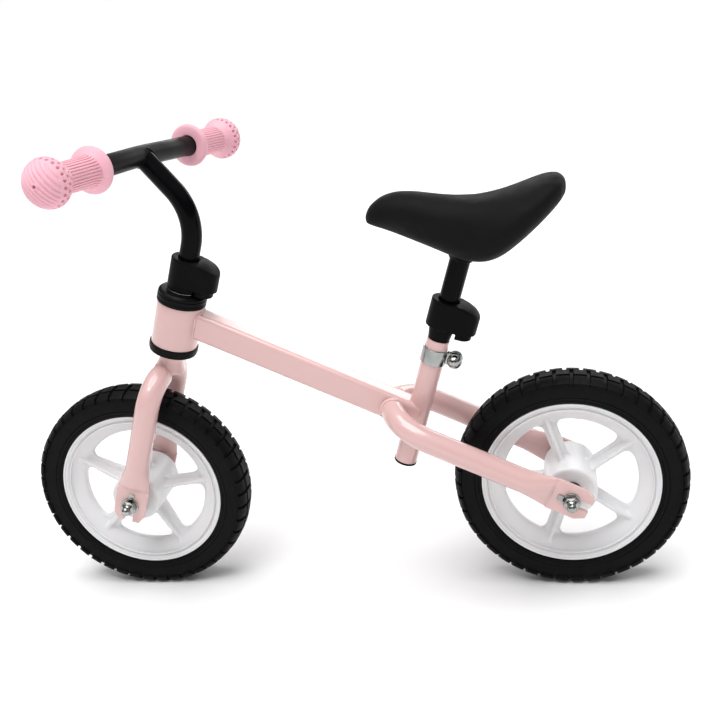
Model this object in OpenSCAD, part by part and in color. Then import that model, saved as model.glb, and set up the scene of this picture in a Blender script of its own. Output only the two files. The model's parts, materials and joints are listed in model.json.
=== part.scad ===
// Child's balance bike: a welded steel frame, a steering fork, two five-spoke
// plastic wheels with foam tyres, a bent handlebar stem and a sliding saddle.
// X points forward, Y to the rider's left, Z up. The origin lies on the ground
// midway between the two axles. All lengths are in millimetres.

/* [Overall] */
// Distance between the front and rear axles
wheelbase = 572; // [550:2:600]
// Outside diameter of the tyres
wheel_d = 292; // [280:2:308]
// Angle of the steering line above the ground
head_angle = 70; // [68:0.5:73]
// Angle of the seat tube above the ground
seat_angle = 71; // [69:0.5:73]

/* [Frame] */
// Outside diameter of the head tube
head_tube_d = 59; // [54:1:64]
// Length of the head tube
head_tube_len = 58; // [50:1:70]
// Width of the top tube
top_tube_w = 30; // [26:1:34]
// Height of the top tube
top_tube_h = 35; // [32:1:40]
// Outside diameter of the seat tube
seat_tube_d = 28.4; // [28.4:0.2:31]
// Distance between the centres of the two rear stays
stay_spread = 113; // [108:1:126]
// Outside diameter of the bent stay and fork tubes
bent_tube_d = 30; // [26:1:32]

/* [Fork and handlebar] */
// Distance between the centres of the two fork legs
fork_spread = 106; // [100:2:116]
// How far the front axle lies in front of the steering line
fork_offset = 5; // [3:1:14]
// Overall width across the two grips
bar_width = 434; // [380:2:470]
// Height of the stem bend above the headset
stem_rise = 100; // [95:1:120]
// Length of the slanting part of the stem
stem_reach = 97.5; // [85:0.5:120]
// How far the stem is clamped out of line with the front wheel
bar_turn = -11; // [-15:0.5:15]

/* [Saddle] */
// Length of the saddle
saddle_len = 233; // [200:1:250]
// Width of the saddle
saddle_w = 134; // [120:1:150]
// How far the saddle stands above the top of its clamp
seat_rise = 51; // [45:1:90]

/* [Hidden] */
$fn = 96;
coarse = 32;
wheel_r = wheel_d / 2;
lean = 90 - head_angle;
seat_lean = 90 - seat_angle;
bent_r = bent_tube_d / 2;
head_r = head_tube_d / 2;
seat_tube_r = seat_tube_d / 2;
tube_wall = 1.8;
head_wall = 2;

// Clearances: a sliding fit, a close fit, and the space between separate bodies
snug = 0.1;
close = 0.02;
gap = 0.3;

// Stations along the steering line, measured up from the point nearest the axle
crown_above_tyre = 32;
crown_race_h = 18;
lower_cup_h = 11;
upper_cup_h = 10;
cap_h = 6;
locknut_h = 8;
crown_s = wheel_r + crown_above_tyre;
lower_cup_s = crown_s + bent_r + crown_race_h;
head_s = lower_cup_s + lower_cup_h;
head_top_s = head_s + head_tube_len;
cap_s = head_top_s + upper_cup_h;
cap_top_s = cap_s + cap_h;
stem_clamp_s = cap_top_s + locknut_h;
stem_bend_s = cap_top_s + stem_rise;

// The top tube and the stays share one straight line through the rear axle
joint_s = head_s + 0.65 * head_tube_len;
joint_x = wheelbase / 2 - joint_s * sin(lean) - fork_offset * cos(lean);
joint_z = wheel_r + joint_s * cos(lean) - fork_offset * sin(lean);
slope = atan2(joint_z - wheel_r, joint_x + wheelbase / 2);
slope_len = norm([joint_x + wheelbase / 2, joint_z - wheel_r]);
seat_t = wheel_r + 63;
stay_bend_t = seat_t - 22;
stay_half = stay_spread / 2;
fork_half = fork_spread / 2;

// Seat tube stations, measured up from the line of the stays
seat_tube_low = -66;
band_s = 76;
band_h = 20;
seat_clamp_s = 125;
clamp_h = 35;
cover_above_tube = 8;
seat_tube_top = seat_clamp_s + clamp_h - cover_above_tube;
post_r = 12.7;
post_bottom = -24;
saddle_s = seat_clamp_s + clamp_h + seat_rise;
post_top = saddle_s + 16;
saddle_bolt_s = saddle_s + 8;
plug_h = 12;

// Clamp bands, their lugs and their screws
band_t = 2;
clamp_band_z = 3.2;
clamp_band_h = 12;
lug_face = 4.5;
lug_gap = 4;
screw_r = 3;
band_bolt_x = seat_tube_r + 12;

steerer_r = 14.3;
fork_bend_r = 35;
steerer_top_s = stem_clamp_s + clamp_h - cover_above_tube;
slit_w = 2;
stem_r = 12.7;
stem_bend_r = 70;
stem_lean = 61;
stem_bottom_s = head_s + 3;
bar_r = 12.7;
bar_end_r = 11;
bar_sweep = 2.3;
grip_ball_r = 27;
grip_neck_r = 16;
grip_flange_y = 102;
grip_len = bar_width / 2 - grip_flange_y;

axle_r = 5;
hub_r = 33;
hub_half = 37;
bearing_r = 11;
bearing_w = 9;
plate_t = 6;
plate_w = 42;
plate_tail = 24;
plate_corner = 9;
pinch_x = 20;
pinch_len = 24;
washer_t = 2;
nut_h = 7;
axle_into_nut = nut_h + 0.5;

rim_r = wheel_r - 35;
tyre_half = 21;
rim_half = 17.5;
window_r = rim_r - 27;
spokes = 5;
spoke_w = 18;
spoke_t = 6;
spoke_fillet = 9;
rib_t = 5;
rib_hub_half = 18;
rib_rim_half = 10;
tread_blocks = 44;
front_spoke_phase = 29;
rear_spoke_phase = 1;

black = "#1b1b1c";
pink = "#f0c4be";
grip_pink = "#f2a9ba";
zinc = "#b9bcc0";

// ---------------------------------------------------------------- placing

module on_front_axle() {
    translate([wheelbase / 2, 0, wheel_r]) children();
}

module on_rear_axle() {
    translate([-wheelbase / 2, 0, wheel_r]) children();
}

// Local Z runs up the steering line and local X points ahead of it
module on_steering() {
    on_front_axle()
    rotate([0, -lean, 0])
    translate([-fork_offset, 0, 0])
    children();
}

// As on_steering, but turned with the handlebar about the steering line
module on_stem() {
    on_steering()
    rotate([0, 0, bar_turn])
    children();
}

// Local X runs from the rear axle towards the head tube
module on_slope() {
    on_rear_axle()
    rotate([0, -slope, 0])
    children();
}

// Local Z runs up the seat tube from the line of the stays
module on_seat_tube() {
    on_slope()
    translate([seat_t, 0, 0])
    rotate([0, slope - seat_lean, 0])
    children();
}

module both_sides() {
    children();
    mirror([0, 1, 0]) children();
}

// ---------------------------------------------------------------- shared

module along_y(r, y0, y1) {
    translate([0, y0, 0])
    rotate([-90, 0, 0])
    cylinder(r = r, h = y1 - y0);
}

module ring(r_out, r_in, h) {
    difference() {
        cylinder(r = r_out, h = h);
        translate([0, 0, -1]) cylinder(r = r_in, h = h + 2);
    }
}

// A straight leg along X whose near end is pinched flat to meet the dropout
module pinched_leg(length) {
    reach = bent_r + 1;
    intersection() {
        translate([pinch_x, 0, 0])
        rotate([0, 90, 0])
        cylinder(r = bent_r, h = length - pinch_x);

        linear_extrude(height = 2 * reach, center = true)
        polygon([
            [pinch_x, -plate_t / 2], [pinch_x + pinch_len, -reach], [length, -reach],
            [length, reach], [pinch_x + pinch_len, reach], [pinch_x, plate_t / 2]
        ]);
    }
}

// The quarter bend and half of the cross piece that close one side of a U
module half_bend(r, half, bend_r, bend_at) {
    translate([bend_at, half - bend_r, 0])
    rotate_extrude(angle = 90)
    translate([bend_r, 0])
    circle(r = r);

    if (half > bend_r) {
        translate([bend_at + bend_r, 0, 0]) along_y(r, 0, half - bend_r);
    }
}

// The flattened end of a bent tube with a slot for the axle, open towards -X
module dropout_plate() {
    slot_w = 2 * axle_r + 1;
    corner_x = plate_corner - plate_tail;
    difference() {
        union() {
            translate([corner_x, -plate_t / 2, -plate_w / 2])
            cube([pinch_x + 5 - corner_x, plate_t, plate_w]);

            translate([-plate_tail, -plate_t / 2, plate_corner - plate_w / 2])
            cube([plate_corner + 1, plate_t, plate_w - 2 * plate_corner]);

            for (side = [-1, 1])
                translate([corner_x, 0, side * (plate_w / 2 - plate_corner)])
                along_y(plate_corner, -plate_t / 2, plate_t / 2);
        }
        along_y(slot_w / 2, -plate_t, plate_t);

        translate([-plate_tail - 1, -plate_t, -slot_w / 2])
        cube([plate_tail + 1, 2 * plate_t, slot_w]);
    }
}

// A tube bent into a U. The axle lies on the Y axis and the bend is towards +X.
module bent_frame_tube(half, bend_r, bend_at) {
    hollow_from = pinch_x + pinch_len + 2;
    difference() {
        both_sides() {
            translate([0, half, 0]) pinched_leg(bend_at);
            half_bend(bent_r, half, bend_r, bend_at);
        }
        both_sides() {
            translate([hollow_from, half, 0])
            rotate([0, 90, 0])
            cylinder(r = bent_r - tube_wall, h = bend_at - hollow_from);

            half_bend(bent_r - tube_wall, half, bend_r, bend_at);
        }
    }
    both_sides()
    translate([0, half, 0])
    dropout_plate();
}

module acorn_nut() {
    difference() {
        union() {
            cylinder(r = 8.4, h = nut_h, $fn = 6);
            translate([0, 0, nut_h - 0.5]) cylinder(r = 6.4, h = 1.5);
            intersection() {
                translate([0, 0, nut_h]) sphere(r = 6);
                translate([0, 0, nut_h]) cylinder(r = 7, h = 7);
            }
        }
        translate([0, 0, -1]) cylinder(r = axle_r + close, h = axle_into_nut + 1.3);
    }
}

module tab_washer() {
    difference() {
        union() {
            cylinder(r = 2 * axle_r, h = washer_t);
            translate([0, -3.5, 0]) cube([17, 7, washer_t]);
        }
        translate([0, 0, -1]) cylinder(r = axle_r + snug, h = washer_t + 2);
    }
}

// ---------------------------------------------------------------- frame

module top_tube_section(grow) {
    corner = 6;
    w = top_tube_w + 2 * grow;
    h = top_tube_h + 2 * grow;
    square([w - 2 * corner, h], center = true);
    square([w, h - 2 * corner], center = true);
    for (x = [-1, 1], y = [-1, 1])
        translate([x * (w / 2 - corner), y * (h / 2 - corner)])
        circle(r = corner);
}

module head_tube() {
    color(pink)
    on_steering()
    translate([0, 0, head_s])
    ring(head_r, head_r - head_wall, head_tube_len);
}

module seat_tube_rod(r, low, high) {
    on_seat_tube()
    translate([0, 0, low])
    cylinder(r = r, h = high - low);
}

module rear_stay() {
    color(pink)
    difference() {
        on_slope() bent_frame_tube(stay_half, stay_half, stay_bend_t);
        seat_tube_rod(seat_tube_r, seat_tube_low, band_s);
    }
}

module top_tube() {
    color(pink)
    difference() {
        on_slope()
        translate([seat_t, 0, 0])
        rotate([90, 0, 90])
        difference() {
            linear_extrude(height = slope_len - seat_t) top_tube_section(0);
            translate([0, 0, -1])
            linear_extrude(height = slope_len - seat_t + 2) top_tube_section(-tube_wall);
        }
        on_steering()
        translate([0, 0, lower_cup_s])
        cylinder(r = head_r, h = cap_s - lower_cup_s);

        seat_tube_rod(seat_tube_r + 2 * gap, seat_tube_low, band_s);

        on_slope()
        both_sides()
        half_bend(bent_r, stay_half, stay_half, stay_bend_t);
    }
}

module seat_tube() {
    slit_s = band_s - band_h;
    color(pink)
    difference() {
        seat_tube_rod(seat_tube_r, seat_tube_low, seat_tube_top);
        seat_tube_rod(post_r + snug, seat_tube_low - 1, seat_tube_top + 1);
        on_seat_tube()
        translate([-seat_tube_d, -slit_w / 2, slit_s])
        cube([seat_tube_d, slit_w, seat_tube_top - slit_s + 1]);
    }
}

module seat_tube_plug() {
    color(black)
    on_seat_tube()
    translate([0, 0, seat_tube_low]) {
        translate([0, 0, -3]) cylinder(r = seat_tube_r + 0.4, h = 3);
        cylinder(r = post_r, h = plug_h);
    }
}

// A cup sits on the end of the head tube, with a spigot pressed inside it
module headset_cup(rim_h) {
    spigot_h = 10;
    difference() {
        union() {
            cylinder(r = head_r + 1.5, h = rim_h);
            translate([0, 0, -spigot_h]) cylinder(r = head_r - head_wall - close, h = spigot_h + 1);
        }
        translate([0, 0, -spigot_h - 1])
        cylinder(r = steerer_r + snug, h = spigot_h + rim_h + 2);
    }
}

module upper_headset_cup() {
    color(black)
    on_steering()
    translate([0, 0, head_top_s])
    headset_cup(upper_cup_h);
}

module lower_headset_cup() {
    color(black)
    on_steering()
    translate([0, 0, head_s])
    mirror([0, 0, 1])
    headset_cup(lower_cup_h);
}

// ---------------------------------------------------------------- clamps

// The screw of a clamp crosses behind its tube at this distance
function screw_x(tube_r) = tube_r + 9.8;

// A steel band round a tube, drawn together by a screw across its two lugs
module clamp_band(tube_r, screw_at, height) {
    lug_end = screw_at + 6;
    difference() {
        union() {
            cylinder(r = tube_r + band_t, h = height);
            translate([-lug_end, -lug_face, 0]) cube([lug_end, 2 * lug_face, height]);
        }
        translate([0, 0, -1]) cylinder(r = tube_r, h = height + 2);
        translate([-lug_end - 1, -lug_gap / 2, -1]) cube([lug_end + 1, lug_gap, height + 2]);
        translate([-screw_at, 0, height / 2]) along_y(screw_r + snug, -10, 10);
    }
}

// A clamp screw lies along Y with its head on the rider's left
module flat_screw() {
    along_y(screw_r, -lug_face - 5, lug_face + 1);
    along_y(5, lug_face, lug_face + 4);
}

module hex_nut() {
    difference() {
        translate([0, -lug_face, 0])
        rotate([90, 0, 0])
        cylinder(r = 5.5, h = 5, $fn = 6);
        along_y(screw_r + close, -lug_face - 6, 0);
    }
}

// The large round end of the steel band's bolt, and of its nut
module domed_end() {
    intersection() {
        translate([0, lug_face - 2, 0]) sphere(r = 9.5);
        translate([-20, lug_face, -20]) cube([40, 40, 40]);
    }
}

// Plan of the plastic cover: a sleeve with a wide rounded housing behind it
module cover_plan(tube_r, grow) {
    housing_x = screw_x(tube_r) - 1;
    housing_r = 19 + grow;
    circle(r = tube_r + 6.8 + grow);
    translate([-housing_x, 0]) circle(r = housing_r);
    translate([-housing_x, -housing_r]) square([housing_x, 2 * housing_r]);
}

// The cover slips over the top of a tube, and may carry a skirt down round it
module clamp_cover(tube_r, skirt_r, skirt_h) {
    wall = 2.6;
    lip_h = 8;
    lip_x = 18;
    roof_x = 12;
    roof_slope = 22;
    room_h = clamp_h - 18;
    difference() {
        union() {
            linear_extrude(height = clamp_h) cover_plan(tube_r, 0);
            translate([0, 0, -skirt_h]) cylinder(r = skirt_r, h = skirt_h + 1);

            // a lower lip hangs under the back of the housing
            translate([0, 0, -lip_h])
            intersection() {
                linear_extrude(height = lip_h + 1) cover_plan(tube_r, -4);
                translate([-lip_x - 60, -30, 0]) cube([60, 60, lip_h + 1]);
            }
        }
        // the roof slopes down over the housing
        translate([-roof_x, -40, clamp_h])
        rotate([0, -roof_slope, 0])
        translate([-60, 0, 0])
        cube([60, 80, 60]);

        // room for the band and its screw
        translate([0, 0, wall]) linear_extrude(height = room_h) cover_plan(tube_r, -wall);

        translate([0, 0, -skirt_h - 1])
        cylinder(r = tube_r + close, h = skirt_h + clamp_h - cover_above_tube + 1);
        translate([0, 0, -1]) cylinder(r = post_r + snug, h = clamp_h + 2);
    }
}

module in_seat_clamp() {
    on_seat_tube() translate([0, 0, seat_clamp_s]) children();
}

module in_stem_clamp() {
    on_steering() translate([0, 0, stem_clamp_s]) children();
}

module at_screw(tube_r) {
    translate([-screw_x(tube_r), 0, clamp_band_z + clamp_band_h / 2]) children();
}

module seat_clamp_cover() {
    color(black) in_seat_clamp() clamp_cover(seat_tube_r, seat_tube_r + 1.6, 18);
}

module seat_clamp_band() {
    color(zinc)
    in_seat_clamp()
    translate([0, 0, clamp_band_z])
    clamp_band(seat_tube_r + close, screw_x(seat_tube_r), clamp_band_h);
}

module seat_clamp_screw() {
    color(zinc) in_seat_clamp() at_screw(seat_tube_r) flat_screw();
}

module seat_clamp_nut() {
    color(zinc) in_seat_clamp() at_screw(seat_tube_r) hex_nut();
}

module stem_clamp_cover() {
    color(black) in_stem_clamp() clamp_cover(steerer_r, steerer_r + 5.7, 0);
}

module stem_clamp_band() {
    color(zinc)
    in_stem_clamp()
    translate([0, 0, clamp_band_z])
    clamp_band(steerer_r + close, screw_x(steerer_r), clamp_band_h);
}

module stem_clamp_screw() {
    color(zinc) in_stem_clamp() at_screw(steerer_r) flat_screw();
}

module stem_clamp_nut() {
    color(zinc) in_stem_clamp() at_screw(steerer_r) hex_nut();
}

module at_steel_band() {
    on_seat_tube() translate([0, 0, band_s]) children();
}

module at_band_bolt() {
    at_steel_band() translate([-band_bolt_x, 0, band_h / 2]) children();
}

module steel_band() {
    color(zinc) at_steel_band() clamp_band(seat_tube_r + close, band_bolt_x, band_h);
}

module steel_band_bolt() {
    color(zinc)
    at_band_bolt() {
        along_y(screw_r, -lug_face - 5, lug_face + 1);
        domed_end();
    }
}

module steel_band_nut() {
    color(zinc)
    at_band_bolt()
    difference() {
        mirror([0, 1, 0]) domed_end();
        along_y(screw_r + close, -lug_face - 5 - close, 0);
    }
}

// ---------------------------------------------------------------- fork

module fork_tube() {
    color(pink)
    on_front_axle()
    rotate([0, -90 - lean, 0])
    bent_frame_tube(fork_half, fork_bend_r, crown_s - fork_bend_r);
}

module fork_crown_rod() {
    on_front_axle()
    rotate([0, -90 - lean, 0])
    both_sides()
    half_bend(bent_r, fork_half, fork_bend_r, crown_s - fork_bend_r);
}

module steerer_tube() {
    race_r = 23;
    color(pink)
    difference() {
        on_steering() {
            translate([0, 0, crown_s]) cylinder(r = steerer_r, h = steerer_top_s - crown_s);
            translate([0, 0, crown_s]) cylinder(r = race_r, h = lower_cup_s - gap - crown_s);
        }
        on_steering()
        translate([0, 0, stem_bottom_s - 9])
        cylinder(r = stem_r + snug, h = steerer_top_s - stem_bottom_s + 10);

        on_steering()
        translate([-2 * steerer_r, -slit_w / 2, stem_clamp_s])
        cube([2 * steerer_r, slit_w, clamp_h]);

        fork_crown_rod();
    }
}

module headset_cap() {
    color(black)
    on_steering()
    translate([0, 0, cap_s + gap])
    difference() {
        union() {
            cylinder(r = head_r + 1, h = cap_h / 2);
            cylinder(r = head_r - 2, h = cap_h - gap);
        }
        translate([0, 0, -1]) cylinder(r = steerer_r + close, h = cap_h + 2);
    }
}

module headset_locknut() {
    color(zinc)
    on_steering()
    translate([0, 0, cap_top_s])
    ring(steerer_r + 3.7, steerer_r + close, locknut_h);
}

// ---------------------------------------------------------------- axles

module axle_rod(plate_y) {
    tip = plate_y + plate_t / 2 + washer_t + axle_into_nut;
    along_y(axle_r, -tip, tip);
}

module spacer_pair(plate_y) {
    both_sides()
    difference() {
        along_y(8, hub_half + gap, plate_y - plate_t / 2);
        along_y(axle_r + close, 0, plate_y);
    }
}

module washer_pair(plate_y, turn) {
    both_sides()
    translate([0, plate_y + plate_t / 2, 0])
    rotate([0, turn, 0])
    rotate([-90, 0, 0])
    tab_washer();
}

module nut_pair(plate_y) {
    both_sides()
    translate([0, plate_y + plate_t / 2 + washer_t, 0])
    rotate([-90, 0, 0])
    acorn_nut();
}

module front_axle() {
    color(zinc) on_front_axle() axle_rod(fork_half);
}

module front_axle_spacers() {
    color(zinc) on_front_axle() spacer_pair(fork_half);
}

module front_tab_washers() {
    color(zinc) on_front_axle() washer_pair(fork_half, -90 - lean);
}

module front_axle_nuts() {
    color(zinc) on_front_axle() nut_pair(fork_half);
}

module rear_axle() {
    color(zinc) on_rear_axle() axle_rod(stay_half);
}

module rear_axle_spacers() {
    color(zinc) on_rear_axle() spacer_pair(stay_half);
}

module rear_tab_washers() {
    color(zinc) on_rear_axle() washer_pair(stay_half, -slope);
}

module rear_axle_nuts() {
    color(zinc) on_rear_axle() nut_pair(stay_half);
}

// ---------------------------------------------------------------- wheels

// Half outline of the tyre, across from the rim seat to the crown of the tread
module tyre_profile() {
    seat = rim_r + 1;
    half = [
        [seat, rim_half - 4.5], [rim_r, rim_half], [rim_r + 2, rim_half + 1.5],
        [rim_r + 9, tyre_half], [rim_r + 22, tyre_half], [wheel_r - 7, tyre_half],
        [wheel_r - 4.5, tyre_half - 2.5], [wheel_r - 0.6, 9], [wheel_r, 7]
    ];
    polygon([
        each half,
        for (i = [len(half) - 1 : -1 : 0]) [half[i].x, -half[i].y]
    ]);
}

// A ring of notches across each shoulder leaves the blocks of the tread
module tyre() {
    step = 360 / tread_blocks;
    rotate([90, 0, 0])
    difference() {
        rotate_extrude() tyre_profile();
        for (i = [0 : tread_blocks - 1], side = [-1, 1])
            rotate([0, 0, (i + 0.25 * side) * step])
            translate([wheel_r - 4.5, -2, side * 15 - 5.5])
            cube([8, 4, 11]);
    }
}

module rim_profile() {
    lip = rim_r - 5;
    polygon([
        [window_r, -4], [window_r, 4], [window_r + 4, 7], [lip - 2, rim_half - 3],
        [lip, rim_half], [rim_r, rim_half], [rim_r + 1, rim_half - 4.5],
        [rim_r + 1, 4.5 - rim_half], [rim_r, -rim_half], [lip, -rim_half],
        [lip - 2, 3 - rim_half], [window_r + 4, -7]
    ]);
}

// One spoke along X: a flat web that widens into the rim, and a tapering rib
module spoke() {
    inner = hub_r - 3;
    flare_y = spoke_w / 2 + spoke_fillet;
    flare_x = sqrt(pow(window_r - spoke_fillet, 2) - pow(flare_y, 2));
    translate([inner, -spoke_w / 2, -spoke_t / 2])
    cube([window_r + 4 - inner, spoke_w, spoke_t]);

    difference() {
        translate([flare_x, -flare_y, -spoke_t / 2])
        cube([window_r + 2 - flare_x, 2 * flare_y, spoke_t]);
        for (side = [-1, 1])
            translate([flare_x, side * flare_y, -spoke_t])
            cylinder(r = spoke_fillet, h = 2 * spoke_t);
    }

    rotate([90, 0, 0])
    linear_extrude(height = rib_t, center = true)
    polygon([
        [inner, -rib_hub_half], [rim_r - 13, -rib_rim_half],
        [rim_r - 13, rib_rim_half], [inner, rib_hub_half]
    ]);
}

module spoked_wheel(phase) {
    rotate([90, 0, 0])
    difference() {
        union() {
            rotate_extrude() rim_profile();
            translate([0, 0, -hub_half]) cylinder(r = hub_r, h = 2 * hub_half);
            for (i = [0 : spokes - 1])
                rotate([0, 0, phase + i * 360 / spokes])
                spoke();
        }
        translate([0, 0, -hub_half - 1]) cylinder(r = axle_r + 1.5, h = 2 * hub_half + 2);
        for (side = [0, 1])
            mirror([0, 0, side])
            translate([0, 0, hub_half - bearing_w])
            cylinder(r = bearing_r, h = bearing_w + 1);
    }
}

module bearing_pair() {
    both_sides()
    difference() {
        along_y(bearing_r, hub_half - bearing_w, hub_half);
        along_y(axle_r + 0.05, 0, hub_half + 1);
    }
}

module front_tyre() {
    color(black) on_front_axle() tyre();
}

module front_wheel() {
    color("white") on_front_axle() spoked_wheel(front_spoke_phase);
}

module front_bearings() {
    color(zinc) on_front_axle() bearing_pair();
}

module rear_tyre() {
    color(black) on_rear_axle() tyre();
}

module rear_wheel() {
    color("white") on_rear_axle() spoked_wheel(rear_spoke_phase);
}

module rear_bearings() {
    color(zinc) on_rear_axle() bearing_pair();
}

// ---------------------------------------------------------------- handlebar

// The middle of the bar, where the stem is welded on
module at_bar() {
    on_stem()
    translate([stem_reach * sin(stem_lean), 0, stem_bend_s + stem_reach * cos(stem_lean)])
    children();
}

// One half of the bar frame: local Z runs outwards, swept a little to the rear
module along_bar(side) {
    at_bar()
    rotate([0, 0, side * bar_sweep])
    rotate([-side * 90, 0, 0])
    children();
}

module bar_halves(r_mid, r_end) {
    half = bar_width / 2 - 8;
    for (side = [-1, 1])
        along_bar(side) {
            cylinder(r = r_mid, h = grip_flange_y);
            cylinder(r = r_end, h = half);
        }
    at_bar() sphere(r = r_mid);
}

module handlebar() {
    color(black)
    difference() {
        bar_halves(bar_r, bar_end_r);
        for (side = [-1, 1])
            along_bar(side)
            translate([0, 0, 4])
            cylinder(r = bar_end_r - tube_wall, h = bar_width / 2);
    }
}

// The stem's round core. Extra length at both ends lets it serve as a cutter too.
// The slanting part is a hair thinner, so that it slips into the end of the bend.
module stem_rods(r, extra) {
    tangent = stem_bend_r * tan(stem_lean / 2);
    low = stem_bottom_s - extra;
    slip = 0.01;
    overlap = 0.8;
    on_stem() {
        translate([0, 0, low])
        cylinder(r = r, h = stem_bend_s - tangent - low);

        translate([stem_bend_r, 0, stem_bend_s - tangent])
        rotate([90, 0, 0])
        rotate([0, 0, 180])
        mirror([0, 1, 0])
        rotate_extrude(angle = stem_lean)
        translate([stem_bend_r, 0])
        circle(r = r);

        translate([0, 0, stem_bend_s])
        rotate([0, stem_lean, 0])
        translate([0, 0, tangent - overlap])
        cylinder(r = r - slip, h = stem_reach - tangent + overlap - 4 + extra);
    }
}

module handlebar_stem() {
    color(black)
    difference() {
        stem_rods(stem_r, 0);
        stem_rods(stem_r - tube_wall, 1);
        bar_halves(bar_r, bar_r);
    }
}

module grip(side) {
    along_bar(side)
    translate([0, 0, grip_flange_y])
    difference() {
        union() {
            cylinder(r = grip_ball_r, h = 3);
            cylinder(r = grip_ball_r - 3, h = 6);
            cylinder(r = grip_neck_r, h = grip_len - grip_ball_r);
            translate([0, 0, grip_len - grip_ball_r])
            sphere(r = grip_ball_r);
        }
        translate([0, 0, -1])
        cylinder(r = bar_end_r + close, h = grip_len - 7);
    }
}

module left_grip() {
    color(grip_pink) grip(1);
}

module right_grip() {
    color(grip_pink) grip(-1);
}

// ---------------------------------------------------------------- saddle

// Level with the ground, where the seat post enters the saddle
module at_saddle() {
    on_seat_tube()
    translate([0, 0, saddle_s])
    rotate([0, seat_lean, 0])
    children();
}

module seat_post() {
    color(black)
    on_seat_tube()
    difference() {
        translate([0, 0, post_bottom]) cylinder(r = post_r, h = post_top - post_bottom);
        translate([0, 0, post_bottom - 1])
        cylinder(r = post_r - tube_wall, h = post_top - post_bottom - 2);
        translate([0, 0, saddle_bolt_s]) along_y(screw_r + snug, -20, 20);
    }
}

// Outline of the saddle as a row of rounded lumps: [x, z, half length, half width, half height]
saddle_lumps = [
    [86, 68, 21, 25, 17.5],
    [48, 61, 30, 31, 25.5],
    [0, 45, 34, 50, 31],
    [-45, 42, 36, 67, 32],
    [-84, 60, 28, 62, 28],
    [-108, 76, 18, 46, 18]
];
saddle_kx = saddle_len / 233;
saddle_ky = saddle_w / 134;

module saddle_lump(i, shrink) {
    b = saddle_lumps[i];
    translate([b[0] * saddle_kx, 0, b[1]])
    scale([b[2] * saddle_kx - shrink, b[3] * saddle_ky - shrink, b[4] - shrink])
    sphere(r = 1, $fn = coarse);
}

module saddle_body(shrink) {
    for (i = [0 : len(saddle_lumps) - 2])
        hull() {
            saddle_lump(i, shrink);
            saddle_lump(i + 1, shrink);
        }
}

socket_r = 19;
socket_low = -3;
tray_z = 18;
tray_t = 8;

module saddle_socket(grow) {
    translate([-2, 0, socket_low - grow])
    rotate([0, -seat_lean, 0])
    cylinder(r = socket_r + grow, h = tray_z + tray_t - socket_low + 2 * grow);
}

// The pan that carries the padding reaches down as far as low
module saddle_pan(grow, low) {
    front = 8 * saddle_kx + grow;
    rear = 62 * saddle_kx + grow;
    half = 26 * saddle_ky + grow;
    translate([-rear, -half, low])
    cube([rear + front, 2 * half, tray_z + tray_t + grow - low]);
}

module at_saddle_bolt() {
    on_seat_tube() translate([0, 0, saddle_bolt_s]) children();
}

module saddle_base() {
    color(black)
    difference() {
        at_saddle() {
            saddle_socket(0);
            saddle_pan(0, tray_z);
        }
        on_seat_tube() cylinder(r = post_r + close, h = post_top);
        at_saddle_bolt() {
            along_y(screw_r + snug, -30, 30);
            both_sides() along_y(6.5, 13.5, 30);
        }
    }
}

module saddle_bolt() {
    color(zinc)
    at_saddle_bolt() {
        along_y(screw_r, -18, 14);
        along_y(5, 13.5, 18);
    }
}

module saddle_nut() {
    color(zinc)
    at_saddle_bolt()
    difference() {
        translate([0, -13.5, 0]) rotate([90, 0, 0]) cylinder(r = 5.5, h = 4, $fn = 6);
        along_y(screw_r + close, -30, 0);
    }
}

module saddle_pad() {
    color(black)
    at_saddle()
    difference() {
        saddle_body(0);
        saddle_socket(gap);
        saddle_pan(gap, 0);
    }
}

// ---------------------------------------------------------------- choose

head_tube();
top_tube();
seat_tube();
rear_stay();
seat_tube_plug();
lower_headset_cup();
upper_headset_cup();
rear_axle();
rear_axle_spacers();
rear_tab_washers();
rear_axle_nuts();
seat_clamp_cover();
seat_clamp_band();
seat_clamp_screw();
seat_clamp_nut();
steel_band();
steel_band_bolt();
steel_band_nut();
fork_tube();
steerer_tube();
headset_cap();
headset_locknut();
stem_clamp_cover();
stem_clamp_band();
stem_clamp_screw();
stem_clamp_nut();
front_axle();
front_axle_spacers();
front_tab_washers();
front_axle_nuts();
front_tyre();
front_wheel();
front_bearings();
rear_tyre();
rear_wheel();
rear_bearings();
handlebar();
handlebar_stem();
left_grip();
right_grip();
seat_post();
saddle_base();
saddle_bolt();
saddle_nut();
saddle_pad();
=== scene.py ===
# %% [markdown]
# # A child's balance bike
# The imported model gives every part its size and place. This lesson keeps that frame and adds
# what the eye wants: moulded plastic with soft edges, foam tyres with real tread blocks, squashed
# tube ends, weld beads, ribbed grips and a padded saddle. We begin by loading the frame.

# %% Load the frame
import json
from math import asin, cos, degrees, pi, radians, sin, sqrt, tan

import bmesh
import bpy
from mathutils import Matrix, Vector


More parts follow.
